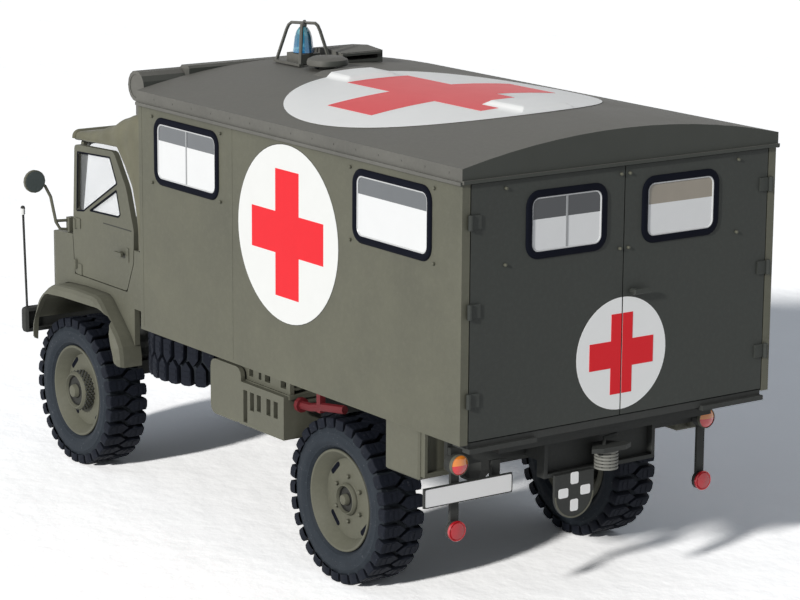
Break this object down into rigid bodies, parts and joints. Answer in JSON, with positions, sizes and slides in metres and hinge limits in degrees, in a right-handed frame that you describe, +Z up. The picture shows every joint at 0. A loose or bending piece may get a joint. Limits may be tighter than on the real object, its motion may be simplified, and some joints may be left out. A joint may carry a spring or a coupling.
{
  "type": "military ambulance truck scale model",
  "caption": "Small scale model of a four-wheel-drive army ambulance truck with a box body, canvas-topped cab, opening doors, steered front wheels and rolling tyres.",
  "frame": {"origin": "on the ground under the middle of the model's length and width", "axes": "+X to the front of the truck, +Y to its left, +Z up"},
  "size_m": [0.134, 0.0698, 0.0811],
  "materials": {
    "olive_paint": "matt paint",
    "canvas": "matt, moulded as cloth",
    "tyre_black": "matt",
    "frosted_pane": "frosted",
    "clear_pane": "clear",
    "red_paint": "satin",
    "lamp_red": "gloss",
    "beacon_blue": "clear gloss",
    "plate_white": "satin",
    "seat_black": "matt"
  },
  "bodies": {
    "chassis": {"spare_tyre": "tyre_black", "spare_rim": "olive_paint", "front_axle": "olive_paint", "rear_axle": "olive_paint", "ladder_frame": "olive_paint", "engine_and_gearbox": "olive_paint", "wall_left": "olive_paint", "wall_right": "olive_paint", "wall_front": "olive_paint", "body_floor": "olive_paint", "body_roof": "olive_paint", "window_front_left": "frosted_pane", "window_front_right": "frosted_pane", "window_rear_left": "frosted_pane", "window_rear_right": "frosted_pane", "beacon_lamp": "beacon_blue", "beacon_guard": "olive_paint", "roof_vent": "olive_paint", "roof_hatch": "olive_paint", "front_duct": "olive_paint", "fender_left": "olive_paint", "fender_right": "olive_paint", "cab_shell": "olive_paint", "headlamp_left": "clear_pane", "headlamp_right": "clear_pane", "windscreen_frame": "olive_paint", "windscreen_glass": "clear_pane", "canvas_roof": "canvas", "cab_seats": "seat_black", "dashboard": "olive_paint", "mirror_left": "olive_paint", "mirror_right": "olive_paint", "front_bumper": "olive_paint", "slotted_rack": "olive_paint", "red_pipe": "red_paint", "rear_locker_left": "olive_paint", "rear_locker_right": "olive_paint", "fuel_tank": "olive_paint", "tail_lamp_left": "lamp_red", "tail_lamp_right": "lamp_red", "licence_plate": "plate_white", "convoy_plate": "olive_paint"},
    "knuckle_left": {"knuckle_left": "olive_paint"},
    "knuckle_right": {"knuckle_right": "olive_paint"},
    "wheel_front_left": {"tyre_front_left": "tyre_black", "rim_front_left": "olive_paint"},
    "wheel_front_right": {"tyre_front_right": "tyre_black", "rim_front_right": "olive_paint"},
    "wheel_rear_left": {"tyre_rear_left": "tyre_black", "rim_rear_left": "olive_paint"},
    "wheel_rear_right": {"tyre_rear_right": "tyre_black", "rim_rear_right": "olive_paint"},
    "cab_door_left": {"cab_door_left": "olive_paint", "cab_door_glass_left": "clear_pane"},
    "cab_door_right": {"cab_door_right": "olive_paint", "cab_door_glass_right": "clear_pane"},
    "rear_door_left": {"rear_door_left": "olive_paint", "rear_door_pane_left": "frosted_pane"},
    "rear_door_right": {"rear_door_right": "olive_paint", "rear_door_pane_right": "frosted_pane"}
  },
  "joints": [
    {"name": "steer_front_left", "type": "hinge", "parent": "chassis", "child": "knuckle_left", "pos_m": [0.05295, 0.02, 0.01314], "axis": [0, 0, 1], "range_deg": [-18, 18]},
    {"name": "steer_front_right", "type": "hinge", "parent": "chassis", "child": "knuckle_right", "pos_m": [0.05295, -0.02, 0.01314], "axis": [0, 0, 1], "range_deg": [-18, 18]},
    {"name": "spin_front_left", "type": "hinge", "parent": "knuckle_left", "child": "wheel_front_left", "pos_m": [0.05295, 0.023, 0.01314], "axis": [0, 1, 0], "continuous": true},
    {"name": "spin_front_right", "type": "hinge", "parent": "knuckle_right", "child": "wheel_front_right", "pos_m": [0.05295, -0.023, 0.01314], "axis": [0, 1, 0], "continuous": true},
    {"name": "spin_rear_left", "type": "hinge", "parent": "chassis", "child": "wheel_rear_left", "pos_m": [-0.02995, 0.023, 0.01314], "axis": [0, 1, 0], "continuous": true},
    {"name": "spin_rear_right", "type": "hinge", "parent": "chassis", "child": "wheel_rear_right", "pos_m": [-0.02995, -0.023, 0.01314], "axis": [0, 1, 0], "continuous": true},
    {"name": "open_cab_door_left", "type": "hinge", "parent": "chassis", "child": "cab_door_left", "pos_m": [0.05135, 0.0267, 0.04], "axis": [0, 0, -1], "range_deg": [0, 70]},
    {"name": "open_cab_door_right", "type": "hinge", "parent": "chassis", "child": "cab_door_right", "pos_m": [0.05135, -0.0267, 0.04], "axis": [0, 0, 1], "range_deg": [0, 70]},
    {"name": "open_rear_door_left", "type": "hinge", "parent": "chassis", "child": "rear_door_left", "pos_m": [-0.06605, 0.02846, 0.05], "axis": [0, 0, -1], "range_deg": [0, 105]},
    {"name": "open_rear_door_right", "type": "hinge", "parent": "chassis", "child": "rear_door_right", "pos_m": [-0.06605, -0.02846, 0.05], "axis": [0, 0, 1], "range_deg": [0, 105]}
  ],
  "couplings": [
    {"joint": "steer_front_right", "follows": "steer_front_left", "ratio": 1}
  ]
}
